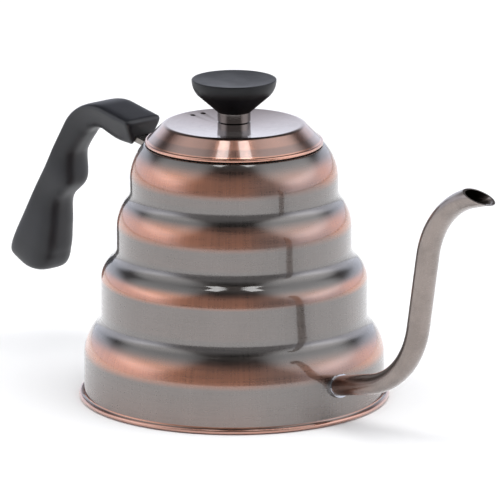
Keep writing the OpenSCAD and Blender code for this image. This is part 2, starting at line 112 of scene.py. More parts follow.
def turned_position(tree, across, up):
    """Position round the z axis as a point on a circle plus the height, each scaled.

    Stripes that run up the wall need a large across and a small up, and rings the opposite."""
    place = add_node(tree, "ShaderNodeTexCoord", output="Object")
    x, y, z = add_node(tree, "ShaderNodeSeparateXYZ", inputs={0: place}).node.outputs
    flat = add_node(tree, "ShaderNodeCombineXYZ", inputs={0: x, 1: y})
    radius = add_node(tree, "ShaderNodeVectorMath", {"operation": "LENGTH"}, {0: flat}, output="Value")
    heading = add_node(tree, "ShaderNodeVectorMath", {"operation": "NORMALIZE"}, {0: flat})
    spread = {0: heading, "Scale": across}
    round_it = add_node(tree, "ShaderNodeVectorMath", {"operation": "SCALE"}, spread)
    # Height and radius together, so that rings follow a wall as well as a flat top
    inwards = add_node(tree, "ShaderNodeMath", times, {0: radius, 1: 0.9})
    profile = add_node(tree, "ShaderNodeMath", plus, {0: z, 1: inwards})
    upwards = add_node(tree, "ShaderNodeMath", times, {0: profile, 1: up})
    lift = add_node(tree, "ShaderNodeCombineXYZ", inputs={2: upwards})
    return add_node(tree, "ShaderNodeVectorMath", plus, {0: round_it, 1: lift}), radius


def mesh_object(name, points, faces, material, sharp_angle=35):
    """A closed piece from points and faces, smooth but for edges above the sharp angle."""
    mesh = bpy.data.meshes.new(name)
    mesh.from_pydata(points, [], faces)
    bm = bmesh.new()
    bm.from_mesh(mesh)
    bmesh.ops.remove_doubles(bm, verts=bm.verts, dist=1e-7)
    bmesh.ops.recalc_face_normals(bm, faces=bm.faces)
    bm.to_mesh(mesh)
    bm.free()
    obj = bpy.data.objects.new(name, mesh)
    bpy.context.scene.collection.objects.link(obj)
    mesh.materials.append(material)
    smooth(obj, sharp_angle)
    return obj


def smooth(obj, sharp_angle):
    """Smooth shading with sharp edges where two faces meet at more than the angle."""
    mesh = obj.data
    mesh.shade_smooth()
    mesh.set_sharp_from_angle(angle=math.radians(sharp_angle))


def arc(centre, r, start, end, steps):
    """Points [r, z] on an arc, angles in degrees from +r towards +z."""
    return [
        (centre[0] + r * math.cos(math.radians(a)), centre[1] + r * math.sin(math.radians(a)))
        for a in np.linspace(start, end, steps + 1)
    ]


def turned(name, outline, material, turns=256, sharp_angle=35):
    """A piece turned round the z axis from a closed outline of (r, z) points in mm."""
    outline = [p for i, p in enumerate(outline) if i == 0 or math.dist(p, outline[i - 1]) > 1e-6]
    rings, points = [], []
    for r, z in outline:
        if r < 1e-6:
            rings.append([len(points)] * turns)
            points.append((0, 0, z * mm))
        else:
            rings.append(list(range(len(points), len(points) + turns)))
            points += [
                (r * mm * math.cos(a), r * mm * math.sin(a), z * mm)
                for a in (2 * math.pi * i / turns for i in range(turns))
            ]
    faces = []
    for a, b in zip(rings, rings[1:] + rings[:1]):
        for i in range(turns):
            k = (i + 1) % turns
            corners = list(dict.fromkeys([a[i], a[k], b[k], b[i]]))
            if len(corners) > 2:
                faces.append(corners)
    return mesh_object(name, points, faces, material, sharp_angle)


def swept(name, rings, material, sharp_angle=35):
    """A closed piece skinned over rings of points, with a flat face at each end."""
    n = len(rings[0])
    last = (len(rings) - 1) * n
    points = [p for ring in rings for p in ring]
    faces = []
    for a in range(0, last, n):
        b = a + n
        faces += [[a + i, a + (i + 1) % n, b + (i + 1) % n, b + i] for i in range(n)]
    # A slightly smaller ring in each end face keeps the face flat and its shading even
    shrink = 0.97
    for first in (0, last):
        middle = np.mean(points[first : first + n], axis=0)
        inset = len(points)
        points += [tuple(middle + shrink * (np.array(p) - middle)) for p in points[first : first + n]]
        faces += [[first + i, first + (i + 1) % n, inset + (i + 1) % n, inset + i] for i in range(n)]
        faces.append(list(range(inset, inset + n)))
    return mesh_object(name, points, faces, material, sharp_angle)


def cut(obj, cutter):
    """Takes the cutter's solid out of the piece, and removes the cutter."""
    modifier = obj.modifiers.new("cut", "BOOLEAN")
    modifier.object = cutter
    modifier.operation = "DIFFERENCE"
    modifier.solver = "EXACT"
    depsgraph = bpy.context.evaluated_depsgraph_get()
    result = bpy.data.meshes.new_from_object(obj.evaluated_get(depsgraph))
    obj.modifiers.remove(modifier)
    obj.data = result
    bpy.data.objects.remove(cutter)


# ---------------------------------------------------------------- paths for spout and handle
def go(p, s, r):
    """The point reached from p = (x, z, heading) after s on a curve of radius r, or straight at 0."""
    x, z, h = p
    if r == 0:
        return (x + s * math.cos(math.radians(h)), z + s * math.sin(math.radians(h)), h)
    to = h + math.degrees(s / r)
    return (
        x + r * (math.sin(math.radians(to)) - math.sin(math.radians(h))),
        z - r * (math.cos(math.radians(to)) - math.cos(math.radians(h))),
        to,
    )


def along(p, legs, s):
    """The point at distance s along a path of legs; the last leg goes on for ever."""
    for length, r in legs[:-1]:
        if s <= length:
            return go(p, s, r)
        p = go(p, length, r)
        s -= length
    return go(p, s, legs[-1][1])


def beside(p, q, y):
    """The point q to the left of the path and y across, in metres."""
    h = math.radians(p[2])
    return ((p[0] - q * math.sin(h)) * mm, y * mm, (p[1] + q * math.cos(h)) * mm)


def arc_len(turn, r):
    """Length of a curve of radius r that turns by this many degrees."""
    return abs(math.radians(turn) * r)


# ---------------------------------------------------------------- finishes
def copper_finish(name, shoulder, wall, roughness, highlight_rings=(), painted_shade=None):
    """Antique copper: brushed on a lathe, brown-grey on the upright walls, then lacquered.

    Warm pink metal on the shoulders and brown-grey on the walls are partly the finish and partly painted
    reflection; hair-fine rings and slow upright clouds, all under a clear hard gloss."""
    material, tree, shader = new_material(name)
    # Clouds 30 mm wide and 50 mm high, brush streaks about 1 mm apart, lathe rings 0.6 mm apart
    clouds, _ = turned_position(tree, 1.0, 9.0)
    streaks, _ = turned_position(tree, 1.0, 0.22)
    rings, away = turned_position(tree, 0.05, 30.0)
    cloud = add_node(tree, "ShaderNodeTexNoise", None, speckle(clouds, 2.2, 4, 0.62))
    streak = add_node(tree, "ShaderNodeTexNoise", None, speckle(streaks, 58, 3, 0.7))
    ring = add_node(tree, "ShaderNodeTexNoise", None, speckle(rings, 60, 2, 0.75))
    # Warm copper where the surface leans a little upwards, brown-grey on the upright walls and towards
    # the shoulder tops: partly the antique finish and partly painted reflection, the grey walls standing
    # in for the pale floor they reflect
    normal = add_node(tree, "ShaderNodeNewGeometry", output="Normal")
    upward = add_node(tree, "ShaderNodeSeparateXYZ", inputs={0: normal}, output="Z")
    rising = add_node(tree, "ShaderNodeMapRange", soft_step, span(upward, -0.02, 0.24))
    falling = add_node(tree, "ShaderNodeMapRange", soft_step, span(upward, 0.34, 0.7, 1.0, 0.0))
    burnish_and_reflection = add_node(tree, "ShaderNodeMath", times, {0: rising, 1: falling})
    if highlight_rings:
        # Painted highlight: brighter copper rings on the lid's fold and rolled rim, where the rounded
        # edges catch the light
        ring_highlight = 0.0
        for middle, half_width, strength in highlight_rings:
            off = add_node(tree, "ShaderNodeMath", minus, {0: away, 1: middle * mm})
            off = add_node(tree, "ShaderNodeMath", size_of, {0: off})
            edge = span(off, half_width * mm * 0.6, half_width * mm, strength, 0.0)
            here = add_node(tree, "ShaderNodeMapRange", soft_step, edge)
            ring_highlight = add_node(tree, "ShaderNodeMath", larger, {0: here, 1: ring_highlight})
        faint = add_node(tree, "ShaderNodeMath", times, {0: burnish_and_reflection, 1: 0.6})
        burnish_and_reflection = add_node(tree, "ShaderNodeMath", larger, {0: ring_highlight, 1: faint})
    if painted_shade:
        # Painted shade in a band along each crease, where the hollow curves lie in shade and reflect the
        # dark room, and less warm copper on a narrow strip turned towards the spout
        place = add_node(tree, "ShaderNodeTexCoord", output="Object")
        x, y, z = add_node(tree, "ShaderNodeSeparateXYZ", inputs={0: place}).node.outputs
        along_x = add_node(tree, "ShaderNodeMath", times, {0: x, 1: math.cos(spout_strip_turn)})
        along_y = add_node(tree, "ShaderNodeMath", times, {0: y, 1: math.sin(spout_strip_turn)})
        toward_it = add_node(tree, "ShaderNodeMath", plus, {0: along_x, 1: along_y})
        facing = add_node(tree, "ShaderNodeMath", {"operation": "DIVIDE"}, {0: toward_it, 1: away})
        copper_share = add_node(tree, "ShaderNodeMapRange", soft_step, span(facing, 0.86, 0.98, 1.0, 0.42))
        for height in crease_heights:
            off = add_node(tree, "ShaderNodeMath", minus, {0: z, 1: (height + shade_band_rise) * mm})
            off = add_node(tree, "ShaderNodeMath", size_of, {0: off})
            edge = span(off, shade_band_half * mm, shade_band_reach * mm)
            clear = add_node(tree, "ShaderNodeMapRange", soft_step, edge)
            copper_share = add_node(tree, "ShaderNodeMath", times, {0: copper_share, 1: clear})
        burnish_and_reflection = add_node(tree, "ShaderNodeMath", times, {0: burnish_and_reflection, 1: copper_share})
    base = add_node(tree, "ShaderNodeMix", blend, {0: burnish_and_reflection, 6: rgb(wall), 7: rgb(shoulder)}, 2)
    if painted_shade:
        # Painted shade and dark reflection on the upward-facing tops of the shoulders, where a shoulder
        # runs into the next bulge
        upward_shade = add_node(tree, "ShaderNodeMapRange", soft_step, span(upward, 0.42, 0.74))
        base = add_node(tree, "ShaderNodeMix", blend, {0: upward_shade, 6: base, 7: rgb(painted_shade)}, 2)
    # Upright streaks show in the warm parts and hair-fine rings in the dark ones
    line = add_node(tree, "ShaderNodeMix", {"data_type": "FLOAT"}, {0: burnish_and_reflection, 2: ring, 3: streak})
    both = add_node(tree, "ShaderNodeMix", {"data_type": "FLOAT"}, {0: 0.5, 2: cloud, 3: line})
    depth = add_node(tree, "ShaderNodeMapRange", soft_step, span(both, 0.35, 0.65))
    shades = {0: depth, 6: (0.89, 0.88, 0.87, 1), 7: (1.09, 1.08, 1.08, 1)}
    tint = add_node(tree, "ShaderNodeMix", blend, shades, 2)
    brush = add_node(tree, "ShaderNodeMix", {"data_type": "FLOAT"}, {0: 0.4, 2: ring, 3: streak})
    rough = span(brush, 0.3, 0.7, roughness - 0.06, roughness + 0.08)
    sockets = {
        "Base Color": add_node(tree, "ShaderNodeMix", tinted, {0: 1.0, 6: base, 7: tint}, 2),
        "Roughness": add_node(tree, "ShaderNodeMapRange", soft_step, rough),
        "Normal": add_node(
            tree, "ShaderNodeBump", None, {"Strength": 0.035, "Distance": 0.0001, "Height": ring}
        ),
        "Tangent": add_node(tree, "ShaderNodeTangent", {"direction_type": "RADIAL", "axis": "Z"}),
        "Metallic": 1.0,
        "Anisotropic": 0.45,
        "Coat Weight": 1.0,
        "Coat IOR": 1.9,
        "Coat Roughness": 0.07,
    }
    fit(tree, shader, sockets)
    return material


def spout_finish(name, tube, root):
    """The same antique metal, dipped rather than brushed: a warm grey bronze, ringed with scratches."""
    material, tree, shader = new_material(name)
    place = add_node(tree, "ShaderNodeTexCoord", output="Object")
    # Clouds about 11 mm across, and scratches under 1 mm apart
    cloud = add_node(tree, "ShaderNodeTexNoise", None, speckle(place, 90, 4, 0.6))
    drawn_out = add_node(tree, "ShaderNodeVectorMath", times, {0: place, 1: (1, 0.12, 1)})
    scratch = add_node(tree, "ShaderNodeTexNoise", None, speckle(drawn_out, 1600, 3, 0.7))
    x = add_node(tree, "ShaderNodeSeparateXYZ", inputs={0: place})
    fading = span(x, root_warm * mm, root_cool * mm, 1.0, 0.0)
    near_root = add_node(tree, "ShaderNodeMapRange", soft_step, fading)
    base = add_node(tree, "ShaderNodeMix", blend, {0: near_root, 6: rgb(tube), 7: rgb(root)}, 2)
    depth = add_node(tree, "ShaderNodeMapRange", soft_step, span(cloud, 0.35, 0.65))
    shades = {0: depth, 6: (0.88, 0.87, 0.86, 1), 7: (1.1, 1.1, 1.1, 1)}
    tint = add_node(tree, "ShaderNodeMix", blend, shades, 2)
    sockets = {
        "Base Color": add_node(tree, "ShaderNodeMix", tinted, {0: 1.0, 6: base, 7: tint}, 2),
        "Roughness": add_node(
            tree, "ShaderNodeMapRange", soft_step, span(scratch, 0.3, 0.7, 0.26, 0.42)
        ),
        "Normal": add_node(
            tree, "ShaderNodeBump", None, {"Strength": 0.05, "Distance": 0.0001, "Height": scratch}
        ),
        "Metallic": 1.0,
        "Coat Weight": 1.0,
        "Coat IOR": 1.7,
        "Coat Roughness": 0.1,
    }
    fit(tree, shader, sockets)
    return material


def steel_finish(name, colour, roughness, rings, scratch_depth=0.04, groove_r=0.0):
    """Stainless steel turned or rolled: fine rings round the z axis soften its highlights."""
    material, tree, shader = new_material(name)
    place, away = turned_position(tree, 0.3, rings)
    line = add_node(tree, "ShaderNodeTexNoise", None, speckle(place, 60, 2, 0.7))
    lighter = tuple(min(1.0, 1.25 * c) for c in rgb(colour))
    tint = add_node(tree, "ShaderNodeMix", blend, {0: line, 6: rgb(colour), 7: lighter}, 2)
    if groove_r:
        # Painted shade darkens the bottom of the groove
        inside = span(away, (groove_r - 0.5) * mm, groove_r * mm, 1.0, 0.0)
        groove_shade = add_node(tree, "ShaderNodeMapRange", soft_step, inside)
        tint = add_node(tree, "ShaderNodeMix", blend, {0: groove_shade, 6: tint, 7: rgb("0c0b0a")}, 2)
    rough = span(line, 0.3, 0.7, roughness * 0.8, roughness * 1.25)
    sockets = {
        "Base Color": tint,
        "Roughness": add_node(tree, "ShaderNodeMapRange", soft_step, rough),
        "Normal": add_node(
            tree, "ShaderNodeBump", None, {"Strength": scratch_depth, "Distance": 0.0001, "Height": line}
        ),
        "Metallic": 1.0,
    }
    fit(tree, shader, sockets)
    return material


def brass_finish(name):
    """Free-cutting brass of the threaded inserts, dull yellow from machining."""
    material, tree, shader = new_material(name)
    place = add_node(tree, "ShaderNodeTexCoord", output="Object")
    grain = add_node(tree, "ShaderNodeTexNoise", None, speckle(place, 900, 3, 0.6))
    shades = {0: grain, 6: rgb("b08d4a"), 7: rgb("c9a860")}
    sockets = {
        "Base Color": add_node(tree, "ShaderNodeMix", blend, shades, 2),
        "Roughness": add_node(tree, "ShaderNodeMapRange", soft_step, span(grain, 0.3, 0.7, 0.28, 0.4)),
        "Metallic": 1.0,
    }
    fit(tree, shader, sockets)
    return material


def black_moulding(name, dark, light, gloss):
    """Black phenolic moulding: satin skin with a very fine grain and faint polishing wear."""
    material, tree, shader = new_material(name)
    place = add_node(tree, "ShaderNodeTexCoord", output="Object")
    # Grain 0.4 mm across, and wear in patches 17 mm across
    grain = add_node(tree, "ShaderNodeTexNoise", None, speckle(place, 2600, 3, 0.65))
    wear = add_node(tree, "ShaderNodeTexNoise", None, speckle(place, 60, 4, 0.6))
    patches = add_node(tree, "ShaderNodeMapRange", soft_step, span(wear, 0.35, 0.7))
    shades = {0: patches, 6: rgb(dark), 7: rgb(light)}
    sockets = {
        "Base Color": add_node(tree, "ShaderNodeMix", blend, shades, 2),
        "Roughness": add_node(tree, "ShaderNodeMapRange", soft_step, span(wear, 0.3, 0.7, 0.38, 0.46)),
        "Normal": add_node(
            tree, "ShaderNodeBump", None, {"Strength": 0.12, "Distance": 0.00006, "Height": grain}
        ),
        "Specular IOR Level": gloss,
    }
    fit(tree, shader, sockets)
    return material


# Heights of the four bulges, of the three creases between them, and the way round to the narrow
# strip by the spout that gets less warm copper
bulge_heights = (36.1, 30.7, 28.1, 24)
crease_heights = [sum(bulge_heights[: i + 1]) for i in range(3)]
spout_strip_turn = math.radians(-10)
# The painted shade band along a crease: its middle above the crease, and where it starts and stops
# fading
shade_band_rise, shade_band_half, shade_band_reach = 1.2, 2.6, 4.6
# The spout's root has a warmer colour, which fades out between these distances from the axis
root_warm, root_cool = 78, 104
# Rings of painted highlight on the lid: radius, half width and strength
lid_highlight_rings = ((34.8, 2.6, 0.32), (41.0, 1.5, 1.0))

antique_copper = copper_finish("antique copper, lacquered", "bd7c5c", "6b6663", 0.3, painted_shade="3f3a38")
lid_copper = copper_finish("antique copper of the lid", "c98f77", "84655b", 0.2, lid_highlight_rings)
base_copper = copper_finish("antique copper of the seam", "c8947e", "b88674", 0.22)
spout_bronze = spout_finish("antique bronze of the spout", "867a73", "7f5d4f")
polished_steel = steel_finish("polished steel ring", "b4b5b9", 0.18, 12.0, 0.01)
satin_steel = steel_finish("rolled satin steel", "837d78", 0.28, 8.0)
turned_steel = steel_finish("turned steel collars", "7c7876", 0.13, 50.0, groove_r=7.3)
screw_steel = steel_finish("screw steel", "a0a2a6", 0.24, 30.0)
brass = brass_finish("machined brass")
black_phenolic = black_moulding("satin black phenolic", "131419", "191a20", 0.6)
knob_phenolic = black_moulding("matt black phenolic of the knob", "0d0e11", "131418", 0.35)


# ---------------------------------------------------------------- body
body_r, sheet = 69.8, 0.7
steps_in = (7.9, 7.4, 6.2, 6.3)
shoulder_radii = (21.3, 13.2, 21, 23.4)
crease_r = 8
curve_steps, small_steps = 40, 16

# Each bulge: outer radius, shoulder radius, step in to the next, height of its top
bulges = []
radius, top = body_r, 0
for height, step, shoulder_r in zip(bulge_heights, steps_in, shoulder_radii):
    top += height
    bulges.append((radius, shoulder_r, step, top))
    radius -= step


def crease_angle(b, d):
    """Angle at which a shoulder reaches its top, for an outline moved inwards by d."""
    return math.degrees(math.acos((b[1] - b[2] - d) / (b[1] - d)))


def shoulder_centre(b):
    return (b[0] - b[1], b[3] - b[1] * math.sin(math.radians(crease_angle(b, 0))))


def shoulder(b, d):
    """A bulge's shoulder, from its upright wall to its top edge."""
    return arc(shoulder_centre(b), b[1] - d, 0, crease_angle(b, d), curve_steps)


def creased(b, d):
    """A shoulder and the hollow curve that leads up into the next bulge's wall."""
    middle = shoulder_centre(b)
    turn = math.acos((b[1] - b[2] + crease_r) / (b[1] + crease_r))
    reach = b[1] + crease_r
    hollow = (middle[0] + reach * math.cos(turn), middle[1] + reach * math.sin(turn))
    turn = math.degrees(turn)
    rising = arc(middle, b[1] - d, 0, turn, curve_steps)
    return rising + arc(hollow, crease_r + d, 180 + turn, 180, small_steps)


def wall_line(d):
    """The body's outline from the lowest wall to the mouth edge, moved inwards by d."""
    return [p for b in bulges[:3] for p in creased(b, d)] + shoulder(bulges[3], d)


lip_turn, lip_depth = 2.1, 7
seam_gap, seam_out = 0.1, 2.5
mouth_edge_z = bulges[3][3]
lip_angle = crease_angle(bulges[3], 0)
lip_r = lip_turn / (1 + math.cos(math.radians(lip_angle)))
mouth_r = radius - lip_turn
lip_centre = (mouth_r + lip_r, mouth_edge_z - lip_r * math.sin(math.radians(lip_angle)))
lip_top_z = lip_centre[1] + lip_r
flange_top = 2 * sheet + seam_gap
flange_r = body_r + seam_out - sheet - seam_gap
flare_r, flare_steps = 0.6 * seam_out, 10
flare_centre = (body_r + flare_r, flange_top + flare_r)

outer = (
    [(flange_r, flange_top - sheet), (flange_r, flange_top)]
    + arc(flare_centre, flare_r, 270, 180, flare_steps)
    + wall_line(0)
    + arc(lip_centre, lip_r, lip_angle, 180, small_steps)
    + [(mouth_r, lip_top_z - lip_depth)]
)
inner = (
    arc(flare_centre, flare_r + sheet, 270, 180, flare_steps)
    + wall_line(sheet)
    + arc(lip_centre, lip_r - sheet, lip_angle, 180, small_steps)
    + [(mouth_r + sheet, lip_top_z - lip_depth)]
)
body = turned("body_skin", outer + inner[::-1], antique_copper, turns=288)

# ---------------------------------------------------------------- spout
spout_in, spout_across, spout_wall = 9.4, 11.8, 0.8
spout_root_z, spout_slope, spout_rise_slope, spout_tip_slope = 17.4, 13, 80.6, 16
spout_run, spout_rise, spout_tip_run, spout_bend_r = 21, 34.8, 10.8, 40
spout_inside, tip_cut_slope, spout_spare = 1, 16, 4
# Each leg of the path: its length, and its radius, or 0 where it is straight
spout_legs = [
    (spout_inside + sheet + spout_run, 0),
    (arc_len(spout_rise_slope - spout_slope, spout_bend_r), spout_bend_r),
    (spout_rise, 0),
    (arc_len(spout_rise_slope - spout_tip_slope, spout_bend_r), -spout_bend_r),
    (spout_tip_run, 0),
]
spout_start = go((body_r, spout_root_z, spout_slope), -spout_inside - sheet, 0)
spout_len = sum(leg[0] for leg in spout_legs)


def geometry_tree(name, sizes):
    """A geometry tree with a named input for each size; returns it with its inputs."""
    tree = bpy.data.node_groups.new(name, "GeometryNodeTree")
    tree.interface.new_socket("Geometry", in_out="INPUT", socket_type="NodeSocketGeometry")
    for label, kind in sizes:
        tree.interface.new_socket(label, in_out="INPUT", socket_type=f"NodeSocket{kind}")
    tree.interface.new_socket("Geometry", in_out="OUTPUT", socket_type="NodeSocketGeometry")
    return tree, add_node(tree, "NodeGroupInput").node.outputs


def end_tree(tree, shape, finish):
    """Ends a tree: copies made real, and one finish all over."""
    real = add_node(tree, "GeometryNodeRealizeInstances", None, {0: shape})
    done = add_node(tree, "GeometryNodeSetMaterial", None, {"Geometry": real, "Material": finish})
    add_node(tree, "NodeGroupOutput", None, {0: done})


def made_by(tree, name, data, sizes, sharp_angle=35):
    """Runs a geometry tree on a curve or mesh, and returns the result as a plain mesh object."""
    maker = bpy.data.objects.new(f"{name} maker", data)
    bpy.context.scene.collection.objects.link(maker)
    modifier = maker.modifiers.new("maker", "NODES")
    modifier.node_group = tree
    for item in tree.interface.items_tree:
        if item.in_out == "INPUT" and item.name in sizes:
            modifier[item.identifier] = sizes[item.name]
    depsgraph = bpy.context.evaluated_depsgraph_get()
    mesh = bpy.data.meshes.new_from_object(maker.evaluated_get(depsgraph))
    maker.modifiers.remove(modifier)
    bpy.data.objects.remove(maker)
    # A cut leaves an empty first slot, so the finish is put back as the only one
    mesh.materials.clear()
    mesh.materials.append(sizes["Finish"])
    mesh.polygons.foreach_set("material_index", [0] * len(mesh.polygons))
    piece = bpy.data.objects.new(name, mesh)
    bpy.context.scene.collection.objects.link(piece)
    smooth(piece, sharp_angle)
    return piece


def tube_tree():
    """A tube swept along the curve it is given, oval in section, hollow, cut off at a slant."""
    tree, given = geometry_tree(
        "oval tube",
        (
            ("Across", "Float"),
            ("In plane", "Float"),
            ("Wall", "Float"),
            ("Facets", "Int"),
            ("Start", "Float"),
            ("End", "Float"),
            ("Lip", "Vector"),
            ("Cut slope", "Float"),
            ("Cutter", "Vector"),
            ("Cutter middle", "Vector"),
            ("Finish", "Material"),
        ),
    )
    level = {"mode": "MINIMUM_TWIST"}
    path = add_node(tree, "GeometryNodeSetCurveNormal", level, {"Curve": given["Geometry"]})
    circle = {"Radius": 1.0, "Resolution": given["Facets"]}
    ring = add_node(tree, "GeometryNodeCurvePrimitiveCircle", None, circle)
    half_across = add_node(tree, "ShaderNodeMath", times, {0: given["Across"], 1: 0.5})
    half_in_plane = add_node(tree, "ShaderNodeMath", times, {0: given["In plane"], 1: 0.5})

    def bar(line, wall):
        """A solid oval bar along the line, one wall smaller all round if a wall is given."""
        wide = add_node(tree, "ShaderNodeMath", minus, {0: half_across, 1: wall})
        deep = add_node(tree, "ShaderNodeMath", minus, {0: half_in_plane, 1: wall})
        size = add_node(tree, "ShaderNodeCombineXYZ", None, {0: wide, 1: deep, 2: 1.0})
        oval = add_node(tree, "GeometryNodeTransform", None, {"Geometry": ring, "Scale": size})
        sweep = {"Curve": line, "Profile Curve": oval, "Fill Caps": True}
        return add_node(tree, "GeometryNodeCurveToMesh", None, sweep)

    # The bore runs on past both ends of the tube, whose own line is trimmed
    ends = {0: path, 4: given["Start"], 5: given["End"]}
    trimmed = add_node(tree, "GeometryNodeTrimCurve", {"mode": "LENGTH"}, ends)
    cut_away = {"operation": "DIFFERENCE", "solver": "EXACT"}
    solids = {"Mesh 1": bar(trimmed, 0.0), "Mesh 2": bar(path, given["Wall"])}
    hollow = add_node(tree, "GeometryNodeMeshBoolean", cut_away, solids)
    box = add_node(tree, "GeometryNodeMeshCube", None, {"Size": given["Cutter"]})
    turn = add_node(tree, "ShaderNodeCombineXYZ", None, {1: given["Cut slope"]})
    raised = {"Geometry": box, "Translation": given["Cutter middle"]}
    box = add_node(tree, "GeometryNodeTransform", None, raised)
    slanted = {"Geometry": box, "Translation": given["Lip"], "Rotation": turn}
    box = add_node(tree, "GeometryNodeTransform", None, slanted)
    tube = add_node(tree, "GeometryNodeMeshBoolean", cut_away, {"Mesh 1": hollow, "Mesh 2": box})
    end_tree(tree, tube, given["Finish"])
    return tree


def box_solid(name, size, corner, matrix):
    """A box from a corner and a size in mm, moved by a matrix, used for cutting."""
    spots = [(x, y, z) for x in (0, 1) for y in (0, 1) for z in (0, 1)]
    points = [
        matrix @ Vector([(low + side * length) * mm for low, side, length in zip(corner, spot, size)])
        for spot in spots
    ]
    faces = [(0, 1, 3, 2), (4, 6, 7, 5), (0, 4, 5, 1), (2, 3, 7, 6), (0, 2, 6, 4), (1, 5, 7, 3)]
    return mesh_object(name, [tuple(p) for p in points], faces, black_phenolic)


def rod(name, r, length, matrix, sides=48):
    """A round bar along its own z from 0, used for cutting."""
    points, faces = [], []
    for z in (0, length):
        points += [
            tuple(matrix @ Vector((r * mm * math.cos(a), r * mm * math.sin(a), z * mm)))
            for a in np.linspace(0, 2 * math.pi, sides, endpoint=False)
        ]
    faces = [list(range(sides)), list(range(sides, 2 * sides))]
    faces += [[i, (i + 1) % sides, sides + (i + 1) % sides, sides + i] for i in range(sides)]
    return mesh_object(name, points, faces, black_phenolic)


# The box that cuts the tip, and the place of its middle, seen from the lip
tip_cutter, tip_cutter_middle = (60, 40, 40), (-10, 0, 20)
lip = Vector(beside(along(spout_start, spout_legs, spout_len), -spout_in / 2, 0))
spout_path = bpy.data.curves.new("spout path", "CURVE")
spout_path.dimensions = "3D"
spout_line = spout_path.splines.new("POLY")
# The bore's line runs this far past the tube at both ends
spout_past = 2
spout_steps, spout_facets = 200, 72
spout_stops = np.linspace(-spout_past, spout_len + spout_spare + spout_past, spout_steps)
spout_line.points.add(len(spout_stops) - 1)
for point, s in zip(spout_line.points, spout_stops):
    point.co = (*beside(along(spout_start, spout_legs, s), 0, 0), 1)
spout = made_by(
    tube_tree(),
    "spout_skin",
    spout_path,
    {
        "Across": spout_across * mm,
        "In plane": spout_in * mm,
        "Wall": spout_wall * mm,
        "Facets": spout_facets,
        "Start": spout_past * mm,
        "End": (spout_past + spout_len + spout_spare) * mm,
        "Lip": lip,
        "Cut slope": math.radians(tip_cut_slope),
        "Cutter": Vector(tip_cutter) * mm,
        "Cutter middle": Vector(tip_cutter_middle) * mm,
        "Finish": spout_bronze,
    },
)

# ---------------------------------------------------------------- handle
handle_gap, handle_rise = 12.1, 2.3
strap_slope, strap_len, handle_bend_r = 11.5, 19.7, 25
grip_slope, grip_len, grip_foot_r, grip_foot_turn, grip_cap, handle_w = 58.5, 65.5, 60, 4, 12, 24.4
strap_start = (-(bulges[3][0] + handle_gap), mouth_edge_z + handle_rise, 180 - strap_slope)
strap_arc = arc_len(strap_slope + grip_slope, handle_bend_r)
back_legs = [
    (strap_len, 0),
    (strap_arc, handle_bend_r),
    (grip_len, 0),
    (arc_len(grip_foot_turn, grip_foot_r), grip_foot_r),
    (grip_cap, 0),
]
handle_end = sum(leg[0] for leg in back_legs)
grip_end = handle_end - grip_cap
grip_start = strap_len + strap_arc
# Distance from the end face, depth, half width of the inner side
finger_line = [
    (0, 14, 5.6),
    (0.6 * strap_len, 15.2, 5.6),
    (strap_len, 14.4, 5.6),
    (grip_start, 10, 5.4),
    (grip_start + 0.21 * grip_len, 8.3, 5.8),
    (grip_start + 0.43 * grip_len, 15.2, 8),
    (grip_start + 0.61 * grip_len, 12.4, 7.2),
    (grip_start + 0.82 * grip_len, 18.4, 9),
    (grip_start + grip_len, 23.2, 10.5),
    (handle_end, 25, 11.5),
]
end_round, cap_power, cap_lean, cap_wide = 2.4, 2.8, 0.4, 0.5
# Squareness of the section's outer and inner sides
outer_power, inner_power, section_steps = 0.36, 0.62, 112


def chord(k, i):
    """Average slope of value k from entry i to the next."""
    a, b = finger_line[i], finger_line[i + 1]
    return (b[k] - a[k]) / (b[0] - a[0])


def slope_at(k, i):
    """Slope of value k at entry i: level at a hill, at a hollow and at both ends."""
    if i in (0, len(finger_line) - 1):
        return 0
    a, b = chord(k, i - 1), chord(k, i)
    return 0 if a * b <= 0 else 2 * a * b / (a + b)


def finger(s, k):
    """Depth (1) or half width of the inner side (2) of the handle at distance s."""
    i = 0
    while i < len(finger_line) - 2 and s > finger_line[i + 1][0]:
        i += 1
    a, b = finger_line[i], finger_line[i + 1]
    d = b[0] - a[0]
    x = min(1, (s - a[0]) / d)
    y = 1 - x
    bend = d * x * y * (slope_at(k, i) * y - slope_at(k, i + 1) * x)
    return a[k] * (1 + 2 * x) * y * y + b[k] * (1 + 2 * y) * x * x + bend


def power(x, e):
    """A power that keeps the sign."""
    return math.copysign(abs(x) ** e, x)


def handle_ring(s):
    """One ring of the handle: flat wide outer side, narrow round inner side."""
    p = along(strap_start, back_legs, s)
    c = 1 if s <= grip_end else (1 - ((s - grip_end) / grip_cap) ** cap_power) ** (1 / cap_power)
    x = max(0, 1 - s / end_round)
    bevel = end_round * (1 - math.sqrt(1 - x * x))
    depth, inner_w = finger(s, 1), finger(s, 2)
    ring = []
    for i in range(section_steps):
        a = 2 * math.pi * i / section_steps
        e = outer_power if math.cos(a) > 0 else inner_power
        q = depth * (0.5 - cap_lean * (1 - c)) - (depth / 2 * c - bevel) * power(math.cos(a), e)
        w = handle_w / 2 + (inner_w - handle_w / 2) * q / depth
        ring.append(beside(p, q, (w * c**cap_wide - bevel) * power(math.sin(a), e)))
    return ring


# Rings close together over the rounded end face and the rounded foot, which stops just short of
# its own tip so that the last ring keeps a width
grip_rings, foot_stop = 150, 0.999
handle_stops = (
    [end_round * (1 - math.sin(math.radians(a))) for a in range(90, 0, -9)]
    + list(np.linspace(end_round, grip_end, grip_rings))
    + [grip_end + grip_cap * math.sin(math.radians(a)) for a in range(4, 86, 3)]
    + [grip_end + foot_stop * grip_cap]
)
grip = swept("grip_skin", [handle_ring(s) for s in handle_stops], black_phenolic, 40)

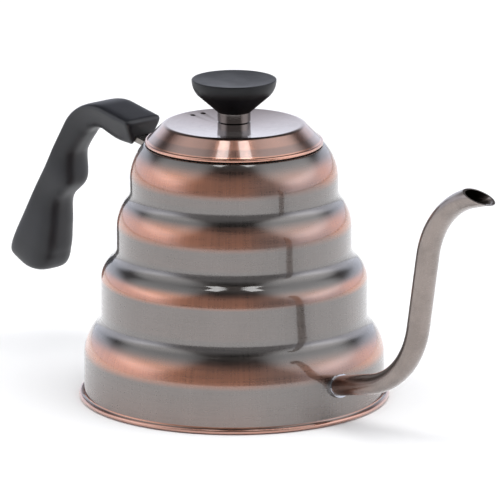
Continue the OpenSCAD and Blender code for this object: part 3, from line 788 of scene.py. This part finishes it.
bar_w, bar_depth, bar_in, bar_clear, recess_h = 9.6, 8.4, 24, 0.2, 8
strap_frame = Matrix.Translation(
    Vector((strap_start[0] * mm, 0, strap_start[1] * mm))
) @ Matrix.Rotation(math.radians(strap_slope), 4, "Y")
slot_size = (bar_in + bar_clear + past, bar_w + 2 * bar_clear, recess_h + bar_clear)
slot_corner = (-bar_in - bar_clear, -bar_w / 2 - bar_clear, -bar_depth - recess_h)
cut(grip, box_solid("bar slot", slot_size, slot_corner, strap_frame))
smooth(grip, 40)

# ---------------------------------------------------------------- handle screws
screw_r, bar_t, screw_1_at, screw_pitch, insert_len = 2, 2.5, 7, 11, 5.8
shank_r, head_r, end_gap = screw_r - 0.02, 1.85 * screw_r, 0.6
head_land, end_chamfer, hex_r, hex_depth = 0.03, 0.4, 1.3, 1.2


def row_tree():
    """Copies of the given part in a straight row, then turned and moved to where the row starts."""
    tree, given = geometry_tree(
        "row of screws",
        (
            ("Count", "Int"),
            ("Pitch", "Float"),
            ("Start", "Vector"),
            ("Slope", "Float"),
            ("Finish", "Material"),
        ),
    )
    back = add_node(tree, "ShaderNodeMath", times, {0: given["Pitch"], 1: -1.0})
    step = add_node(tree, "ShaderNodeCombineXYZ", None, {0: back})
    spacing = {"Count": given["Count"], "Offset": step}
    line = add_node(tree, "GeometryNodeMeshLine", {"mode": "OFFSET"}, spacing)
    copies = {"Points": line, "Instance": given["Geometry"]}
    row = add_node(tree, "GeometryNodeInstanceOnPoints", None, copies)
    turn = add_node(tree, "ShaderNodeCombineXYZ", None, {1: given["Slope"]})
    placed = {"Geometry": row, "Translation": given["Start"], "Rotation": turn}
    row = add_node(tree, "GeometryNodeTransform", None, placed)
    end_tree(tree, row, given["Finish"])
    return tree


# One screw, head down, from the bar's top face at z = 0, with a hexagon socket in the head
screw_outline = [
    (0, -bar_t),
    (head_r, -bar_t),
    (head_r, -bar_t + head_land),
    (shank_r, -end_gap),
    (shank_r, insert_len - end_gap - end_chamfer),
    (shank_r - end_chamfer, insert_len - end_gap),
    (0, insert_len - end_gap),
]
screw = turned("screw", screw_outline, screw_steel, turns=48)
socket_place = Matrix.Translation(Vector((0, 0, (-bar_t - past) * mm)))
cut(screw, rod("hexagon socket", hex_r, past + hex_depth, socket_place, sides=6))
row_start = strap_frame @ Vector((-screw_1_at * mm, 0, -bar_depth * mm))
screws = made_by(
    row_tree(),
    "handle_screw_row",
    screw.data,
    {
        "Count": 2,
        "Pitch": screw_pitch * mm,
        "Start": row_start,
        "Slope": math.radians(strap_slope),
        "Finish": screw_steel,
    },
)
bpy.data.objects.remove(screw)

# ---------------------------------------------------------------- lid
bead_r, bead_out, bead_from, bead_to, bead_steps = 1, 0.4, -227, 95.5, 48
lid_rest_gap, lid_sheet, lid_hole_r, cone_sink, land_w = 0.25, 0.6, 2.2, 0.1, 1
cone_w, cone_slope, fold_r, dish, collar_r = 6.9, 45, 3, 2.6, 7.65
bead_mid_r = mouth_r + bead_out * bead_r
bead_z = lip_top_z + lid_rest_gap + bead_r
cone_foot = (bead_mid_r, bead_z + bead_r - cone_sink)
fold_foot = (bead_mid_r - cone_w, cone_foot[1] + cone_w * math.tan(math.radians(cone_slope)))
dish_slope = math.degrees(math.atan(dish / (fold_foot[0] - collar_r - 2 * land_w)))
fold_centre = (
    fold_foot[0] - fold_r * math.sin(math.radians(cone_slope)),
    fold_foot[1] - fold_r * math.cos(math.radians(cone_slope)),
)
fold_top = (
    fold_centre[0] - fold_r * math.sin(math.radians(dish_slope)),
    fold_centre[1] + fold_r * math.cos(math.radians(dish_slope)),
)
dish_run = fold_top[0] - collar_r - land_w
lid_top_z = fold_top[1] - dish_run * math.tan(math.radians(dish_slope))


def lid_top_line(d):
    """The lid's skin from the fold in to the screw hole, moved inwards by d."""
    return arc(fold_centre, fold_r - d, 90 - cone_slope, 90 + dish_slope, small_steps) + [
        (collar_r + land_w, lid_top_z - d),
        (lid_hole_r, lid_top_z - d),
    ]


# The rim's bead, from under the sheet round the outside to its upper face
bead = arc((bead_mid_r, bead_z), bead_r, bead_from, bead_to, bead_steps)
lid_outline = bead + lid_top_line(0) + lid_top_line(lid_sheet)[::-1]
lid = turned("lid_skin", lid_outline, lid_copper, turns=256)
vent_d, vent_at, vent_pitch, vent_turn, vent_reach = 2.5, 26.5, 6.1, 176, 5
for side in (-1, 1):
    angle = math.radians(vent_turn) + side * math.asin(vent_pitch / 2 / vent_at)
    low = Vector((vent_at * math.cos(angle), vent_at * math.sin(angle), lid_top_z - vent_reach)) * mm
    cut(lid, rod("vent cutter", vent_d / 2, 2 * vent_reach + 2 * past, Matrix.Translation(low)))
smooth(lid, 35)

# ---------------------------------------------------------------- knob
knob_r, knob_h, knob_curve_r, knob_dish, knob_rim = 19.6, 15.4, 9.8, 0.9, 0.5
collar_lower_h, collar_upper_h, insert_r, insert_h = 3.7, 4.2, 3, 9
knob_z = lid_top_z + collar_lower_h + collar_upper_h
knob_top_z = knob_z + knob_h
top_r, knob_flank = knob_r - 2 * knob_rim, 45
knob_steps, rim_steps = 24, 8
curve_in = knob_curve_r * (1 - math.cos(math.radians(knob_flank)))
curve_down = knob_curve_r * math.sin(math.radians(knob_flank))
knob_outline = (
    [(0, knob_z + insert_h), (insert_r, knob_z + insert_h), (insert_r, knob_z), (collar_r, knob_z)]
    + [(knob_r - curve_in, knob_top_z - knob_rim - curve_down)]
    + arc((knob_r - knob_curve_r, knob_top_z - knob_rim), knob_curve_r, -knob_flank, 0, knob_steps)
    + arc((knob_r - knob_rim, knob_top_z - knob_rim), knob_rim, 0, 90, rim_steps)
    + [(top_r * x, knob_top_z - knob_dish * (1 - x * x)) for x in np.linspace(1, 0, knob_steps)]
)
knob = turned("knob_skin", knob_outline, knob_phenolic, turns=160)

# ---------------------------------------------------------------- joining the pieces to the frame
bodies = frame["record"]["behaviour"]["bodies"]
carried_by = {node: name for name, nodes in bodies.items() for node in nodes}

for piece, node, slot in (
    (body, "body_shell", "antique_copper"),
    (spout, "spout_tube", "spout_bronze"),
    (grip, "handle_grip", "black_phenolic"),
    (screws, "handle_screws", "screw_steel"),
    (lid, "lid_cover", "lid_copper"),
    (knob, "knob", "black_phenolic"),
):
    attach(piece, carried_by[node])
    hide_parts(node)

finish_of = {
    "base_pan": base_copper,
    "spout_ferrule": polished_steel,
    "handle_bracket": satin_steel,
    "handle_inserts": brass,
    "lid_skirt": satin_steel,
    "knob_insert": brass,
    "knob_collar_upper": turned_steel,
    "knob_collar_lower": turned_steel,
    "knob_screw": screw_steel,
    "knob_washer": screw_steel,
    "knob_lock_washer": screw_steel,
}
for node, finish in finish_of.items():
    for slot in frame["nodes"][node].material_slots:
        slot.material = finish

# ---------------------------------------------------------------- studio
floor_material, floor_tree, floor_shader = new_material("matt white floor")
white = {"Base Color": (0.95, 0.95, 0.95, 1), "Roughness": 0.9, "Specular IOR Level": 0.1}
fit(floor_tree, floor_shader, white)
bpy.ops.mesh.primitive_plane_add(size=40, location=(0, 0, -0.0002))
floor = bpy.context.object
floor.name = "floor"
floor.data.materials.append(floor_material)

camera_turn = math.radians(46.4)
camera_away, camera_up, camera_aside, camera_dip = 2.9, 0.794, 0.00735, 14.04
toward = Vector((math.sin(camera_turn), -math.cos(camera_turn), 0))
across = Vector((math.cos(camera_turn), math.sin(camera_turn), 0))
camera_data = bpy.data.cameras.new("camera")
camera_data.lens = 464.4
camera_data.sensor_width = 36
camera_data.clip_end = 100
camera = bpy.data.objects.new("camera", camera_data)
bpy.context.scene.collection.objects.link(camera)
camera.location = camera_away * toward + Vector((0, 0, camera_up)) + camera_aside * across
camera.rotation_euler = (math.radians(90 - camera_dip), 0, camera_turn)
bpy.context.scene.camera = camera


def soft_light(name, turn, height, distance, size, power, aim=(0, 0, 0.07)):
    """A rectangular light; turn is counted from the camera's side, positive to its right."""
    data = bpy.data.lights.new(name, "AREA")
    data.shape = "RECTANGLE"
    data.size, data.size_y = size
    data.energy = power
    light = bpy.data.objects.new(name, data)
    bpy.context.scene.collection.objects.link(light)
    angle = camera_turn + math.radians(turn)
    flat = Vector((math.sin(angle), -math.cos(angle), 0))
    e = math.radians(height)
    light.location = Vector(aim) + distance * (flat * math.cos(e) + Vector((0, 0, math.sin(e))))
    light.rotation_euler = (Vector(aim) - light.location).to_track_quat("-Z", "Y").to_euler()
    return light


soft_light("soft box left", -37, 72.5, 1.6, (0.24, 0.34), 1.0)
soft_light("soft box right", 37, 72.5, 1.6, (0.24, 0.34), 1.0)

# A wide overhead light for the floor only, too far round to show in the metal
floor_light = soft_light("overhead sheet", 0, 90, 2.5, (3.0, 3.0), 60)
floor_light.visible_glossy = False

world = bpy.data.worlds.new("studio")
bpy.context.scene.world = world
world.use_nodes = True
sky = world.node_tree
sky.nodes.clear()
sky_way = add_node(sky, "ShaderNodeTexCoord", output="Generated")
way_x, way_y, way_z = add_node(sky, "ShaderNodeSeparateXYZ", None, {0: sky_way}).node.outputs
flat_way = add_node(sky, "ShaderNodeCombineXYZ", None, {0: way_x, 1: way_y})
flat_way = add_node(sky, "ShaderNodeVectorMath", {"operation": "NORMALIZE"}, {0: flat_way})
dot = {"operation": "DOT_PRODUCT"}
camera_side = add_node(sky, "ShaderNodeVectorMath", dot, {0: flat_way, 1: toward}, "Value")

# Bright bluish walls under a dark ceiling, and a dim room on the camera's side
high = add_node(sky, "ShaderNodeMapRange", soft_step, span(way_z, 0.6, 0.92))
shades = {0: high, 6: (0.12, 0.12, 0.125, 1), 7: (0.03, 0.03, 0.03, 1)}
ceiling = add_node(sky, "ShaderNodeMix", blend, shades, 2)
overhead = add_node(sky, "ShaderNodeMapRange", soft_step, span(way_z, 0.26, 0.5))
shades = {0: overhead, 6: (1.04, 1.08, 1.22, 1), 7: ceiling}
walls = add_node(sky, "ShaderNodeMix", blend, shades, 2)
room_top = add_node(sky, "ShaderNodeMapRange", soft_step, span(way_z, 0.45, 0.9))
shades = {0: room_top, 6: (0.3, 0.3, 0.31, 1), 7: (0.02, 0.02, 0.02, 1)}
room = add_node(sky, "ShaderNodeMix", blend, shades, 2)
dark = add_node(sky, "ShaderNodeMapRange", soft_step, span(camera_side, 0.3, 0.75))
room_colour = add_node(sky, "ShaderNodeMix", blend, {0: dark, 6: walls, 7: room}, 2)

# Two diffusing panels with soft edges: turn from the camera's side, outer and inner edge, strength
panel_height = math.radians(42)
panels = 0.0
for turn, outer_edge, inner_edge, strength in ((-84, 38, 16, 1.0), (84, 40, 18, 1.25)):
    angle = camera_turn + math.radians(turn)
    flat = Vector((math.sin(angle), -math.cos(angle), 0)) * math.cos(panel_height)
    middle = flat + Vector((0, 0, math.sin(panel_height)))
    near = add_node(sky, "ShaderNodeVectorMath", dot, {0: sky_way, 1: middle}, "Value")
    edges = [math.cos(math.radians(a)) for a in (outer_edge, inner_edge)]
    panel = add_node(sky, "ShaderNodeMapRange", soft_step, span(near, *edges, 0.0, strength))
    panels = add_node(sky, "ShaderNodeMath", plus, {0: panel, 1: panels})

panel_light = {"Color": (0.97, 0.98, 1, 1), "Strength": panels}
panel_light = add_node(sky, "ShaderNodeBackground", None, panel_light)
room_light = add_node(sky, "ShaderNodeBackground", None, {"Color": room_colour, "Strength": 1.0})
both = add_node(sky, "ShaderNodeAddShader", None, {0: panel_light, 1: room_light})
add_node(sky, "ShaderNodeOutputWorld", None, {0: both})

bpy.context.scene.view_settings.view_transform = "Standard"
